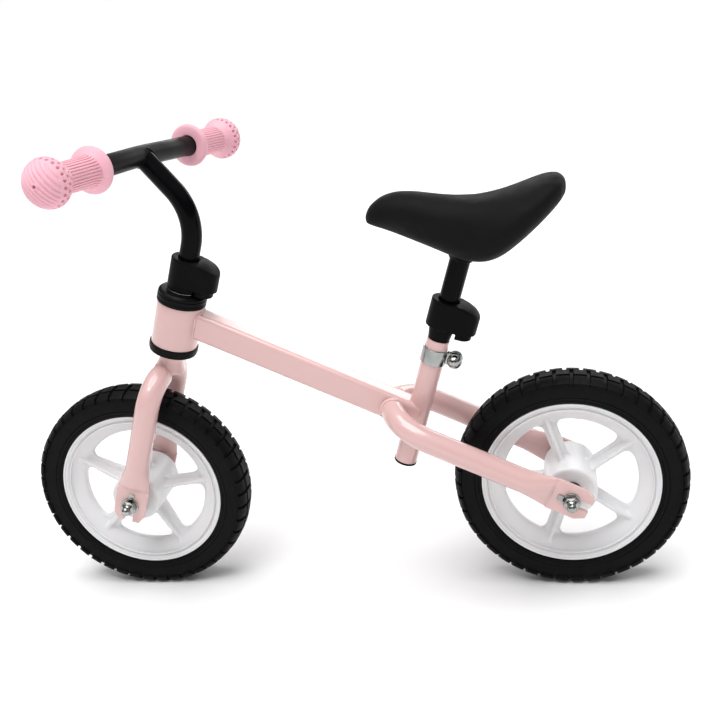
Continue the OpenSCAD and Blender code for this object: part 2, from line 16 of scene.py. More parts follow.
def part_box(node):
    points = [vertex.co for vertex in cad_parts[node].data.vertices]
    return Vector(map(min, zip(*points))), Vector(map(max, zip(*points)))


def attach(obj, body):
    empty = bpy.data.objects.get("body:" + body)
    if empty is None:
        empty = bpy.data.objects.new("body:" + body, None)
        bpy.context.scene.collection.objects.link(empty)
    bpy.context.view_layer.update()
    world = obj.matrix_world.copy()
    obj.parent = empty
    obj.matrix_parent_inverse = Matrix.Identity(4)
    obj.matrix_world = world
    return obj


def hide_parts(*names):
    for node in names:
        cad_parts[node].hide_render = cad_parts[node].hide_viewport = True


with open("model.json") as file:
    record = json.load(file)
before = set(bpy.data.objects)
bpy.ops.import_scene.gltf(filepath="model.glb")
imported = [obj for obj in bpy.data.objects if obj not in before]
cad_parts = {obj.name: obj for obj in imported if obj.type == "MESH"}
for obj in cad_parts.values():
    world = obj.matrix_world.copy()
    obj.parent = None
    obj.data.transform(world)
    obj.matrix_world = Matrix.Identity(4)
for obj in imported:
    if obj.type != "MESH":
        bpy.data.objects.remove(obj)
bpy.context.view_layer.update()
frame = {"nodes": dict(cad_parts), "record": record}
record = frame["record"]
scene = bpy.context.scene
MM = 0.001

# %% [markdown]
# Every part of the bike is easiest to model lying on its own axis. A local frame is a matrix
# whose Z axis is that axis and whose Y axis stays across the bike. Origins and directions come
# from the joints, a mount and the boxes of the parts, so nothing is fitted by eye.

# %% Local frames
def local_frame(origin, up):
    """A frame at origin with Z along up and Y to the rider's left."""
    z = Vector(up).normalized()
    y = Vector((0, 1, 0))
    x = y.cross(z)
    turn = Matrix((x, y, z)).transposed()
    return Matrix.Translation(Vector(origin)) @ turn.to_4x4()


def middle(node):
    low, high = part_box(node)
    return (low + high) / 2


def turned(axis, angle):
    """A turn given in degrees."""
    return Matrix.Rotation(radians(angle), 4, axis)


def moved(x=0, y=0, z=0):
    """A shift given in millimetres."""
    return Matrix.Translation(Vector((x, y, z)) * MM)


joints = {joint["name"]: joint for joint in record["behaviour"]["joints"]}
mounts = {mount["name"]: mount for mount in record["mounts"]}
steering = local_frame(joints["steering"]["pos_m"], joints["steering"]["axis"])
front_axle = middle("front_tyre")
rear_axle = middle("rear_tyre")
slope_up = Vector(mounts["top_tube_upper_face"]["axis"])
slope = local_frame(rear_axle, slope_up)
seat_axis = Vector(joints["seat_height"]["axis"])
post_middle_s = 101.5  # millimetres up the seat tube's line to the middle of the seat post
seat_tube = local_frame(middle("seat_post") - seat_axis * post_middle_s * MM, seat_axis)
wheel_r = (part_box("front_tyre")[1].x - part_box("front_tyre")[0].x) / 2
print("wheel radius", round(wheel_r, 4), "m; axles", round(front_axle.x - rear_axle.x, 3), "m apart")

# %% [markdown]
# ## Floor, light and camera
# A bike in a catalogue stands on white paper under large soft lamps. A pale plane and a pale
# world give that. A very wide sun straight overhead lays the soft shadow under the wheels, and
# two long area lamps give the highlights that show a tube is round.

# %% Studio
def studio_material():
    paper = bpy.data.materials.new("pale_floor")
    paper.use_nodes = True
    shader = paper.node_tree.nodes["Principled BSDF"]
    grain = paper.node_tree.nodes.new("ShaderNodeTexNoise")
    ramp = paper.node_tree.nodes.new("ShaderNodeValToRGB")
    grain.inputs["Scale"].default_value = 3
    ramp.color_ramp.elements[0].color = (0.86, 0.86, 0.86, 1)
    ramp.color_ramp.elements[1].color = (0.9, 0.9, 0.9, 1)
    shader.inputs["Roughness"].default_value = 0.9
    paper.node_tree.links.new(grain.outputs["Fac"], ramp.inputs["Fac"])
    paper.node_tree.links.new(ramp.outputs["Color"], shader.inputs["Base Color"])
    return paper


def add_lamp(name, place, aim, size, watts):
    lamp = bpy.data.lights.new(name, "AREA")
    lamp.shape = "RECTANGLE"
    lamp.size, lamp.size_y = size
    lamp.energy = watts
    holder = bpy.data.objects.new(name, lamp)
    scene.collection.objects.link(holder)
    holder.location = place
    holder.rotation_euler = (Vector(aim) - Vector(place)).to_track_quat("-Z", "Y").to_euler()
    return holder


bpy.ops.mesh.primitive_plane_add(size=400, location=(0, 0, 0))
floor = bpy.context.object
floor.name = "floor"
floor.data.materials.append(studio_material())


def studio_world():
    """White at the horizon and overhead, with a grey belt between for gloss to reflect."""
    world = bpy.data.worlds.new("studio")
    world.use_nodes = True
    nodes, links = world.node_tree.nodes, world.node_tree.links
    place = nodes.new("ShaderNodeTexCoord")
    split = nodes.new("ShaderNodeSeparateXYZ")
    belt = nodes.new("ShaderNodeValToRGB")
    belt.color_ramp.elements[0].position = 0.0
    belt.color_ramp.elements[0].color = (2, 2, 2, 1)
    belt.color_ramp.elements[1].position = 0.95
    belt.color_ramp.elements[1].color = (1.25, 1.25, 1.25, 1)
    for height, grey in ((0.07, 2.0), (0.13, 0.22), (0.40, 0.16), (0.56, 1.0)):
        stop = belt.color_ramp.elements.new(height)
        stop.color = (grey, grey, grey, 1)
    links.new(place.outputs["Generated"], split.inputs["Vector"])
    links.new(split.outputs["Z"], belt.inputs["Fac"])
    links.new(belt.outputs["Color"], nodes["Background"].inputs["Color"])
    nodes["Background"].inputs["Strength"].default_value = 0.5
    return world


scene.world = studio_world()
scene.view_settings.view_transform = "Standard"

sky_light = bpy.data.lights.new("sky_panel", "SUN")
sky_light.energy = 2.6
sky_light.angle = radians(50)
sky_panel = bpy.data.objects.new("sky_panel", sky_light)
scene.collection.objects.link(sky_panel)
sky_panel.rotation_euler = (radians(-7), 0, 0)

add_lamp("key_lamp", (0.5, 1.3, 2.3), (0, 0, 0.3), (1.5, 0.35), 10)
add_lamp("back_lamp", (-0.2, -2.3, 1.25), (0, 0, 0.3), (2.6, 0.6), 16)
print(len(bpy.data.lights), "lamps")

# %% [markdown]
# The camera is given the way a photographer would say it: where it stands, which way it heads,
# how far it looks down and how much it is tipped over. Three perpendicular directions come out
# of those angles, and together they are the camera's matrix. A little lens shift frames the bike.

# %% Camera
camera_place = Vector((-0.28165, 1.09657, 0.77114))
heading, pitch, roll = radians(190.91), radians(20.82), radians(-6.38)
ahead = Vector((-sin(heading) * cos(pitch), cos(heading) * cos(pitch), -sin(pitch)))
right = Vector((cos(heading), sin(heading), 0))
upward = right.cross(ahead)
camera_x = right * cos(roll) + upward * sin(roll)
camera_y = upward * cos(roll) - right * sin(roll)

camera_data = bpy.data.cameras.new("camera")
camera_data.sensor_width = 36
camera_data.lens = 48.45
camera_data.shift_x = -0.0369
camera_data.shift_y = -0.0314
camera_data.clip_start = 0.01
camera = bpy.data.objects.new("camera", camera_data)
scene.collection.objects.link(camera)
camera.matrix_world = Matrix.Translation(camera_place) @ Matrix(
    (camera_x, camera_y, -ahead)).transposed().to_4x4()
scene.camera = camera
print("lens", round(camera_data.lens, 2), "mm")

# %% [markdown]
# ## Finishes
# Each finish is a small node tree on Object coordinates, which are metres on this bike, so a
# noise scale of 500 makes specks of about 2 mm. One helper lays down what all of them share:
# a colour that drifts a little, a roughness that drifts too, and a fine bump. What differs is
# handed in by name.

# %% A finish from two noises and a bump
def finish(name, dark, light, roughness, bump=(900, 0.05, 0.0004), drift=18, **sockets):
    """A material whose colour drifts from dark to light and whose roughness spans a pair."""
    material = bpy.data.materials.new(name)
    material.use_nodes = True
    nodes, links = material.node_tree.nodes, material.node_tree.links
    shader = nodes["Principled BSDF"]
    place = nodes.new("ShaderNodeTexCoord")

    cloud = nodes.new("ShaderNodeTexNoise")
    cloud.inputs["Scale"].default_value = drift
    cloud.inputs["Detail"].default_value = 6
    tint = nodes.new("ShaderNodeMix")
    tint.data_type = "RGBA"
    tint.inputs["A"].default_value = (*dark, 1)
    tint.inputs["B"].default_value = (*light, 1)
    links.new(place.outputs["Object"], cloud.inputs["Vector"])
    links.new(cloud.outputs["Fac"], tint.inputs["Factor"])
    links.new(tint.outputs["Result"], shader.inputs["Base Color"])

    smear = nodes.new("ShaderNodeTexNoise")
    smear.inputs["Scale"].default_value = drift * 4
    smear.inputs["Detail"].default_value = 8
    spread = nodes.new("ShaderNodeMapRange")
    spread.inputs["From Min"].default_value = 0.3
    spread.inputs["From Max"].default_value = 0.7
    spread.inputs["To Min"].default_value = roughness[0]
    spread.inputs["To Max"].default_value = roughness[1]
    links.new(place.outputs["Object"], smear.inputs["Vector"])
    links.new(smear.outputs["Fac"], spread.inputs["Value"])
    links.new(spread.outputs["Result"], shader.inputs["Roughness"])

    skin = nodes.new("ShaderNodeTexNoise")
    skin.inputs["Scale"].default_value = bump[0]
    skin.inputs["Detail"].default_value = 3
    relief = nodes.new("ShaderNodeBump")
    relief.inputs["Strength"].default_value = bump[1]
    relief.inputs["Distance"].default_value = bump[2]
    links.new(place.outputs["Object"], skin.inputs["Vector"])
    links.new(skin.outputs["Fac"], relief.inputs["Height"])
    links.new(relief.outputs["Normal"], shader.inputs["Normal"])

    for socket, value in sockets.items():
        shader.inputs[socket.replace("_", " ")].default_value = value
    return material


def pebbled(material, scale, strength, distance):
    """Swaps the noise of the bump for small cells, as on foam or moulded skin."""
    nodes, links = material.node_tree.nodes, material.node_tree.links
    relief = next(n for n in nodes if n.bl_idname == "ShaderNodeBump")
    place = next(n for n in nodes if n.bl_idname == "ShaderNodeTexCoord")
    cells = nodes.new("ShaderNodeTexVoronoi")
    cells.inputs["Scale"].default_value = scale
    relief.inputs["Strength"].default_value = strength
    relief.inputs["Distance"].default_value = distance
    links.new(place.outputs["Object"], cells.inputs["Vector"])
    links.new(cells.outputs["Distance"], relief.inputs["Height"])
    return material


# %% The finishes of the bike
pink_enamel = finish("pink_enamel", (0.70, 0.448, 0.432), (0.725, 0.468, 0.452), (0.22, 0.25),
                     (420, 0.02, 0.0004), Coat_Weight=0.7, Coat_Roughness=0.06)
black_enamel = finish("black_enamel", (0.0015, 0.0015, 0.002), (0.003, 0.003, 0.0035),
                      (0.08, 0.14), (500, 0.03, 0.0004), Specular_IOR_Level=0.06)
satin_black = finish("satin_black", (0.003, 0.003, 0.0035), (0.007, 0.007, 0.0075), (0.36, 0.46),
                     (1100, 0.12, 0.0003), Specular_IOR_Level=0.12)
bright_zinc = finish("bright_zinc", (0.22, 0.235, 0.23), (0.50, 0.52, 0.50), (0.08, 0.24),
                     (700, 0.05, 0.0002), drift=60, Metallic=1.0)
clamp_plastic = pebbled(finish("clamp_plastic", (0.002, 0.002, 0.0025), (0.004, 0.004, 0.0045),
                               (0.38, 0.5), Specular_IOR_Level=0.06), 1500, 0.12, 0.0002)
headset_plastic = finish("headset_plastic", (0.002, 0.002, 0.0025), (0.004, 0.004, 0.0045),
                         (0.28, 0.4), (1300, 0.08, 0.0002), Specular_IOR_Level=0.09)
wheel_plastic = finish("wheel_plastic", (0.74, 0.735, 0.745), (0.81, 0.805, 0.815), (0.28, 0.4),
                       (1200, 0.05, 0.0002), Subsurface_Weight=0.08, Subsurface_Scale=0.004)
tyre_foam = pebbled(finish("tyre_foam", (0.0015, 0.0015, 0.002), (0.005, 0.005, 0.0055),
                           (0.42, 0.6), drift=40, Specular_IOR_Level=0.09), 1400, 0.2, 0.0003)
grip_rubber = finish("grip_rubber", (0.82, 0.42, 0.50), (0.87, 0.46, 0.54), (0.5, 0.62),
                     (1500, 0.08, 0.0002), Sheen_Weight=0.1)
saddle_skin = pebbled(finish("saddle_skin", (0.005, 0.0045, 0.005), (0.009, 0.0085, 0.009),
                             (0.55, 0.66), Specular_IOR_Level=0.06, Sheen_Weight=0.02),
                      2200, 0.12, 0.0002)
slot_finish = {"pink_paint": pink_enamel, "black_paint": black_enamel, "zinc": bright_zinc,
               "headset_plastic": headset_plastic, "clamp_plastic": clamp_plastic,
               "tyre_foam": tyre_foam, "wheel_plastic": wheel_plastic,
               "grip_rubber": grip_rubber, "saddle_plastic": clamp_plastic,
               "saddle_skin": saddle_skin}
node_slot = {part["node"]: part["material_slot"] for part in record["subparts"]}
node_body = {node: body for body, nodes in record["behaviour"]["bodies"].items() for node in nodes}
for node, thing in frame["nodes"].items():
    thing.data.materials.clear()
    thing.data.materials.append(slot_finish[node_slot[node]])
print(len(slot_finish), "slots given", len(set(slot_finish.values())), "finishes")

# %% [markdown]
# ## Helpers for making pieces
# A bmesh becomes a piece in one way only: its normals face out, its object stays at the origin,
# it rides on the body of the part that it stands for, and it takes the finish of that part's slot.

# %% From a bmesh to a piece
def add_piece(name, bm, *nodes, like=None, crisp=35, slot=None, material=None):
    """Makes the mesh a piece that stands for the CAD nodes, or that goes with the node like."""
    model = nodes[0] if nodes else like
    slot = slot or node_slot[model]
    bmesh.ops.remove_doubles(bm, verts=bm.verts, dist=1e-6)
    face_outward(bm)
    mesh = bpy.data.meshes.new(name)
    bm.to_mesh(mesh)
    bm.free()
    mesh.materials.append(material or slot_finish[slot])
    mesh.shade_smooth()
    mesh.set_sharp_from_angle(angle=radians(crisp))
    piece = bpy.data.objects.new(name, mesh)
    scene.collection.objects.link(piece)
    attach(piece, node_body[model])
    if nodes:
        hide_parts(*nodes)
    print(name, len(mesh.polygons), "faces")
    return piece


def face_outward(bm):
    bmesh.ops.recalc_face_normals(bm, faces=bm.faces)
    if bm.calc_volume(signed=True) < 0:
        bmesh.ops.reverse_faces(bm, faces=bm.faces)
    bm.normal_update()


def bevel_edges(bm, edges, width, segments=3):
    bmesh.ops.bevel(bm, geom=edges, offset=width * MM, offset_type="OFFSET", segments=segments,
                    profile=0.5, affect="EDGES", material=-1, clamp_overlap=True)


# %% [markdown]
# Most round parts are a profile spun round an axis, as on a lathe. The profile is a chain of
# radius and height pairs in millimetres. Bevelling the chain's corners before the spin rounds
# every edge of the finished part at once.

# %% A lathe
def profile_chain(bm, points, rounding, closed):
    verts = [bm.verts.new((r * MM, 0, z * MM)) for r, z in points]
    pairs = list(zip(verts, verts[1:] + verts[:1])) if closed else list(zip(verts, verts[1:]))
    edges = [bm.edges.new(pair) for pair in pairs]
    if rounding:
        corners = [v for v in verts if len(v.link_edges) == 2 and v.co.x > 1e-6]
        bmesh.ops.bevel(bm, geom=corners, offset=rounding * MM, offset_type="OFFSET",
                        segments=4, profile=0.5, affect="VERTICES", material=-1,
                        clamp_overlap=True)
    return edges


def lathe(points, place, rounding=0.0, closed=True, steps=64, bm=None):
    """Spins a profile about the Z axis of place, into a new bmesh or an old one."""
    part = bmesh.new()
    profile_chain(part, points, rounding, closed)
    bmesh.ops.spin(part, geom=part.verts[:] + part.edges[:], axis=(0, 0, 1), cent=(0, 0, 0),
                   angle=2 * pi, steps=steps, use_merge=True, use_duplicate=False)
    bmesh.ops.remove_doubles(part, verts=part.verts, dist=1e-6)
    return place_in(part, place, bm)


def place_in(part, place, bm=None):
    """Moves a bmesh to its place and, if bm is given, adds it to that one."""
    bmesh.ops.transform(part, matrix=place, verts=part.verts)
    if bm is None:
        return part
    carrier = bpy.data.meshes.new("carrier")
    part.to_mesh(carrier)
    part.free()
    bm.from_mesh(carrier)
    bpy.data.meshes.remove(carrier)
    return bm


# %% [markdown]
# A bent tube is a ring that is pulled along a path. Each station is a matrix that says where the
# ring is, which way it faces and how wide it is, so a tube can also be squashed on its way.
# The ring is extruded and then carried from one station to the next.

# %% A ring pulled along stations
def ring_section(bm, radius, sides):
    made = bmesh.ops.create_circle(bm, cap_ends=False, radius=radius * MM, segments=sides)
    return made["verts"]


def pull_tube(radius, stations, sides=40, capped=True, closed=False, bm=None):
    """A tube of that radius through the stations. Each station's Z axis runs along it."""
    part = bmesh.new()
    ring = ring_section(part, radius, sides)
    bmesh.ops.transform(part, matrix=stations[0], verts=ring)
    first = list({edge for v in ring for edge in v.link_edges})
    edges = first
    for before, after in zip(stations, stations[1:]):
        made = bmesh.ops.extrude_edge_only(part, edges=edges)["geom"]
        ring = [g for g in made if isinstance(g, bmesh.types.BMVert)]
        edges = [g for g in made if isinstance(g, bmesh.types.BMEdge)
                 and all(v in ring for v in g.verts)]
        bmesh.ops.transform(part, matrix=after @ before.inverted(), verts=ring)
    if closed:
        bmesh.ops.bridge_loops(part, edges=first + edges)
    elif capped:
        bmesh.ops.holes_fill(part, edges=[e for e in part.edges if e.is_boundary], sides=0)
    return place_in(part, Matrix.Identity(4), bm)


def facing(place, direction, side=Vector((0, 0, 1))):
    """A station at place whose Z axis is direction and whose X axis leans to side."""
    z = direction.normalized()
    y = z.cross(side).normalized()
    x = y.cross(z)
    return Matrix.Translation(place) @ Matrix((x, y, z)).transposed().to_4x4()


def scaled(x, y):
    return Matrix.Diagonal((x, y, 1, 1))


# %% [markdown]
# Some CAD parts need only a kinder edge. A copy of the part's mesh is merged, because the
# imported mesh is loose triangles, and is then either bevelled, for metal, or rebuilt from small
# cells and relaxed, for moulded plastic. Relaxing cells leaves a soft fillet in every corner,
# which is just what a mould leaves.

# %% Copies of CAD parts
def cad_copy(node):
    bm = bmesh.new()
    bm.from_mesh(frame["nodes"][node].data)
    bmesh.ops.remove_doubles(bm, verts=bm.verts, dist=2e-6)
    bmesh.ops.dissolve_limit(bm, angle_limit=radians(0.5), verts=bm.verts, edges=bm.edges)
    return bm


def edged_copy(node, width=0.5):
    """A copy of a CAD part with its sharp edges bevelled by a modifier."""
    piece = add_piece(node + "_finished", cad_copy(node), node, crisp=30)
    edge = piece.modifiers.new("edge", "BEVEL")
    edge.width = width * MM
    edge.segments = 2
    edge.limit_method = "ANGLE"
    edge.angle_limit = radians(40)
    edge.harden_normals = True
    return piece


def relaxed(piece, cell, passes, factor=0.5):
    """Rebuilds a piece from cells of that many millimetres and smooths it, for good."""
    cells = piece.modifiers.new("cells", "REMESH")
    cells.mode = "VOXEL"
    cells.voxel_size = cell * MM
    cells.use_smooth_shade = True
    soft = piece.modifiers.new("soft", "SMOOTH")
    soft.factor = factor
    soft.iterations = passes
    bake_modifiers(piece)
    return piece


def bake_modifiers(piece):
    """Turns what the modifiers make into the piece's own mesh."""
    graph = bpy.context.evaluated_depsgraph_get()
    made = bpy.data.meshes.new_from_object(piece.evaluated_get(graph), depsgraph=graph)
    made.name = piece.name
    piece.modifiers.clear()
    piece.data = made
    piece.data.shade_smooth()
    print(piece.name, "now has", len(made.polygons), "faces")


def moulded_copy(node, cell, passes):
    bm = bmesh.new()
    bm.from_mesh(frame["nodes"][node].data)
    return relaxed(add_piece(node + "_moulded", bm, node), cell, passes)


# %% [markdown]
# ## Wheels
# The real wheel is one white moulding: a rim, five spokes with a stiffening rib and a fat hub
# drum, all flowing into each other. A voxel remesh of the CAD wheel, relaxed a little, gives
# those flowing corners.

# %% Two moulded wheels
rim_r, rim_side = 111.0, 17.5


def rim_lips(node, centre):
    """A bright lip on both edges of the rim and a fine step further in."""
    bm = bmesh.new()
    for side in (-1, 1):
        outward = Matrix.Translation(centre) @ turned("X", -90 * side)
        for radius, width, high in ((rim_r - 1.3, 2.6, 1.2), (rim_r - 9.5, 1.4, 0.1)):
            lip = [(radius - width / 2, rim_side - 3), (radius + width / 2, rim_side - 3),
                   (radius + width / 2, rim_side + high), (radius - width / 2, rim_side + high)]
            lathe(lip, outward, 0.6, steps=120, bm=bm)
    add_piece(node + "_lips", bm, like=node)


for node, centre in (("front_wheel", front_axle), ("rear_wheel", rear_axle)):
    moulded_copy(node, 1.7, 5)
    rim_lips(node, centre)

# %% [markdown]
# The foam tyre is a ring whose shoulders carry blocks. The ring is a lathe job. Its outer faces
# are then gathered block by block, inset and raised, which leaves a groove between neighbours
# and a small slope on each block's side.

# %% Foam tyres with raised blocks
tread_blocks = 44
steps_per_block = 5
block_h = 3.3
shoulder_depth = 10.8
middle_band = (-6.9, 6.9)
left_band, right_band = (8.8, 20.7), (-20.7, -8.8)


def tyre_section():
    tread = wheel_r / MM - block_h
    rim = tread - 31.6
    half = [(rim + 1, 13), (rim, 17.5), (rim + 2, 19), (rim + 3.4, 19.8), (rim + 3.9, 19.3),
            (rim + 4.5, 19.9), (rim + 8, 20.5), (rim + 8.8, 19.9), (rim + 9.6, 20.6),
            (rim + 13, 21), (rim + 20, 21), (tread - 7, 20.9), (tread - 4.4, 20.2),
            (tread - 1.6, 16.5), (tread - 0.2, 8.8), (tread, 7.0)]
    return half + [(r, -y) for r, y in reversed(half)]


def band_faces(bm, low, high):
    """Outer faces whose middle lies between two widths, sorted into angular slots."""
    slots = {}
    for face in bm.faces:
        spot = face.calc_center_median()
        distance = sqrt(spot.x ** 2 + spot.y ** 2)
        if distance > wheel_r - shoulder_depth * MM and low * MM < spot.z < high * MM:
            turn = (Vector((spot.x, spot.y)).angle_signed(Vector((1, 0))) / (2 * pi)) % 1
            slots.setdefault(int(turn * tread_blocks * steps_per_block), []).append(face)
    return slots


def raise_blocks(bm, band, shift, height):
    """Raises one row of blocks, shifted by that many steps round the tyre."""
    slots = band_faces(bm, *band)
    for block in range(tread_blocks):
        faces = []
        for step in range(steps_per_block - 1):
            number = (block * steps_per_block + step + shift) % (tread_blocks * steps_per_block)
            faces += [face for face in slots.get(number, []) if face.is_valid]
        if faces:
            bmesh.ops.inset_region(bm, faces=faces, thickness=0.5 * MM, depth=height * MM,
                                   use_even_offset=True, use_boundary=True)


def build_tyre(node, centre):
    lying = Matrix.Translation(centre) @ turned("X", 90)
    bm = lathe(tyre_section(), Matrix.Identity(4), steps=tread_blocks * steps_per_block)
    bmesh.ops.recalc_face_normals(bm, faces=bm.faces)
    raise_blocks(bm, left_band, 0, block_h - 0.5)
    raise_blocks(bm, right_band, 2, block_h - 0.5)
    raise_blocks(bm, middle_band, 2, block_h)
    add_piece(node + "_treaded", place_in(bm, lying), node, crisp=28)


build_tyre("front_tyre", front_axle)
build_tyre("rear_tyre", rear_axle)

# %% [markdown]
# A black bush closes the hub round the axle on each side and keeps dirt out of the bearing.

# %% Hub bushes
def hub_bushes(prefix, centre):
    bm = bmesh.new()
    for side in (-1, 1):
        outward = Matrix.Translation(centre) @ turned("X", -90 * side)
        lathe([(5.4, 34), (14.5, 34), (14.5, 39.5), (12, 41.5), (5.4, 41.5)], outward, 0.8, bm=bm)
    add_piece(prefix + "_hub_bushes", bm, like=prefix + "_bearings", slot="clamp_plastic")


hub_bushes("rear", rear_axle)
hub_bushes("front", front_axle)

# %% [markdown]
# ## Tubes with squashed ends
# The fork and the rear stay are each one tube bent into a U, and both ends are pressed flat so
# that the axle nut can clamp them. Pulling a ring along half a U and mirroring it does it: near
# the ends the stations grow wider one way and thinner the other. The flat end itself is a small
# plate with an open slot. The stay's two halves meet in the middle. The fork's bend is tighter,
# so its halves stop 18 mm short of the middle, and the straight piece of crown that belongs
# between them is still missing: a station at the middle, after the bend, would close it.

# %% The path of a U and its flat ends
tube_r = 15.0
stay_half, stay_bend_r, stay_bend_at = 56.5, 56.5, 187
fork_half, fork_bend_r, fork_bend_at = 53, 35, 143
plate_w, plate_t, plate_tail = 42.0, 6.0, 24.0
crease_x, ledge_x, round_x = 25.0, 29.0, 60.0
ledge = 0.44
arc_steps = 20


def squash_at(x):
    """How much wider and thinner the tube is at distance x from the axle."""
    t = min(1.0, max(0.0, (x - crease_x) / (round_x - crease_x)))
    wide = plate_w / 2 / tube_r
    thin = plate_t / 2 / tube_r
    if x < ledge_x:
        rise = max(0.0, (x - crease_x) / (ledge_x - crease_x))
        return scaled(wide + (1 - wide) * t, thin + (ledge - thin) * rise)
    rise = min(1.0, (x - ledge_x) / (round_x - ledge_x))
    return scaled(wide + (1 - wide) * t, ledge + (1 - ledge) * rise)


def leg_stations(half, bend_at):
    """From the flat end towards the bend, on the rider's left."""
    spots = [crease_x - 3, crease_x, ledge_x, 33, 38, 43, 48, 53, round_x, round_x + 6, bend_at]
    return [moved(x, half, 0) @ turned("Y", 90) @ turned("Z", 180) @ squash_at(x)
            for x in spots]


def bend_stations(half, bend_r, bend_at):
    """Round the left corner of the U, ending half - bend_r away from the bike's middle."""
    stations = []
    for step in range(1, arc_steps + 1):
        angle = 90 * step / arc_steps
        stations.append(moved(bend_at, half - bend_r, 0) @ turned("Z", -angle)
                        @ moved(0, bend_r, 0) @ turned("Y", 90) @ turned("Z", 180))
    return stations


def u_tube(half, bend_r, bend_at):
    """One leg and its bend, mirrored across the bike, with every open end closed."""
    left = leg_stations(half, bend_at) + bend_stations(half, bend_r, bend_at)
    half_tube = pull_tube(tube_r, left, sides=44, capped=False)
    bmesh.ops.mirror(half_tube, geom=half_tube.verts[:] + half_tube.edges[:]
                     + half_tube.faces[:], matrix=Matrix.Identity(4), merge_dist=5e-5, axis="Y")
    bmesh.ops.remove_doubles(half_tube, verts=half_tube.verts, dist=5e-5)
    bmesh.ops.holes_fill(half_tube, edges=[e for e in half_tube.edges if e.is_boundary], sides=0)
    return half_tube


# %% [markdown]
# The plate starts as a few corners drawn flat, is filled, thickened and bevelled. Its slot runs
# out of the end so that the wheel can drop out.

# %% The flat plate with its slot
def dropout_plate(bm, half, side):
    """The pressed end of one leg, with a slot as wide as the axle needs."""
    slot_half = 5.6
    w = plate_w / 2
    outline = [(crease_x + 1, -w), (-12, -w), (-plate_tail + 1, -w + 6), (-plate_tail, -w + 8),
               (-plate_tail, -slot_half), (0, -slot_half), (4.6, -3), (slot_half, 0), (4.6, 3),
               (0, slot_half), (-plate_tail, slot_half), (-plate_tail, w - 8),
               (-plate_tail + 1, w - 6), (-12, w), (crease_x + 1, w)]
    part = bmesh.new()
    rim = [part.verts.new((x * MM, -plate_t / 2 * MM, z * MM)) for x, z in outline]
    face = part.faces.new(rim)
    made = bmesh.ops.extrude_face_region(part, geom=[face])["geom"]
    top = [g for g in made if isinstance(g, bmesh.types.BMVert)]
    bmesh.ops.translate(part, vec=(0, plate_t * MM, 0), verts=top)
    bevel_edges(part, [e for e in part.edges if abs(e.verts[0].co.y - e.verts[1].co.y) < 1e-6],
                0.8, 3)
    place_in(part, moved(0, side * half, 0), bm)


def bent_frame_tube(name, node, place, half, bend_r, bend_at):
    """Both halves of the U with their two flat ends, as one piece."""
    bm = u_tube(half, bend_r, bend_at)
    for side in (-1, 1):
        dropout_plate(bm, half, side)
    place_in(bm, place)
    return add_piece(name, bm, node, crisp=40)


bent_frame_tube("rear_stay_bent", "rear_stay", slope, stay_half, stay_bend_r, stay_bend_at)
fork_place = Matrix.Translation(front_axle) @ steering.to_3x3().to_4x4() @ turned("Y", -90)
bent_frame_tube("fork_bent", "fork_tube", fork_place, fork_half, fork_bend_r, fork_bend_at)

# %% [markdown]
# ## Weld beads
# Where tubes meet, a welder leaves a bead of small overlapping ripples, and the paint covers it.
# The bead is a thin ring of tube whose thickness swells and shrinks along the seam.

# %% Beads along a closed seam
def weld_bead(name, like, spots, radius=2.0, ripple=0.14, pitch=3.2):
    """A bead along the closed loop of spots, in metres."""
    count = len(spots)
    stations = []
    run = 0.0
    for i, spot in enumerate(spots):
        ahead_of = spots[(i + 1) % count] - spots[i - 1]
        run += (spot - spots[i - 1]).length if i else 0.0
        swell = 1 + ripple * sin(2 * pi * run / (pitch * MM))
        stations.append(facing(spot, ahead_of, Vector((0.3, 0.2, 1))) @ scaled(swell, swell))
    bm = pull_tube(radius, stations, sides=10, closed=True)
    return add_piece(name, bm, like=like, crisp=60)


head_r = 29.5
top_tube_w, top_tube_h, top_tube_corner = 30.0, 35.0, 6.0
bead_inset = 0.8


def top_tube_outline(count=200):
    """Points round the top tube's rounded section, as Y and Z in millimetres."""
    corner = top_tube_corner
    path = []
    for cy, cz, start in ((1, 1, 0), (-1, 1, 90), (-1, -1, 180), (1, -1, 270)):
        for step in range(9):
            angle = radians(start + 90 * step / 8)
            path.append(Vector((cy * (top_tube_w / 2 - corner) + corner * cos(angle),
                                cz * (top_tube_h / 2 - corner) + corner * sin(angle))))
    closed = path + path[:1]
    lengths = [(b - a).length for a, b in zip(closed, closed[1:])]
    total = sum(lengths)
    points, leg, used = [], 0, 0.0
    for step in range(count):
        target = total * step / count
        while used + lengths[leg] < target:
            used += lengths[leg]
            leg += 1
        points.append(closed[leg].lerp(closed[leg + 1], (target - used) / max(lengths[leg], 1e-9)))
    return points


def joint_spots(round_tube, radius, outside, inside):
    """The top tube's outline carried along the slope until it meets a round tube."""
    back = round_tube.inverted()
    spots = []
    for y, z in top_tube_outline():
        y = max(-0.94 * radius, min(0.94 * radius, y))  # clear of the round tube's flanks
        clear, buried = outside, inside
        for _ in range(30):
            mid = (clear + buried) / 2
            local = back @ (slope @ (Vector((mid, y, z)) * MM))
            free = sqrt(local.x ** 2 + local.y ** 2) > radius * MM
            clear, buried = (mid, buried) if free else (clear, mid)
        spots.append(slope @ (Vector((clear, y, z)) * MM))
    return spots


def stay_joint_spots(side, count=120):
    """A circle round the stay where its bend enters the side of the top tube."""
    tube_side = top_tube_w / 2
    lean = degrees(asin(tube_side / stay_bend_r))
    entry = slope @ moved(stay_bend_at + stay_bend_r * cos(radians(lean)),
                          side * (tube_side + bead_inset), 0) \
        @ turned("Z", side * lean) @ turned("X", -90 * side)
    return [entry @ (Vector((cos(2 * pi * i / count), sin(2 * pi * i / count), 0))
                     * (tube_r - bead_inset) * MM) for i in range(count)]


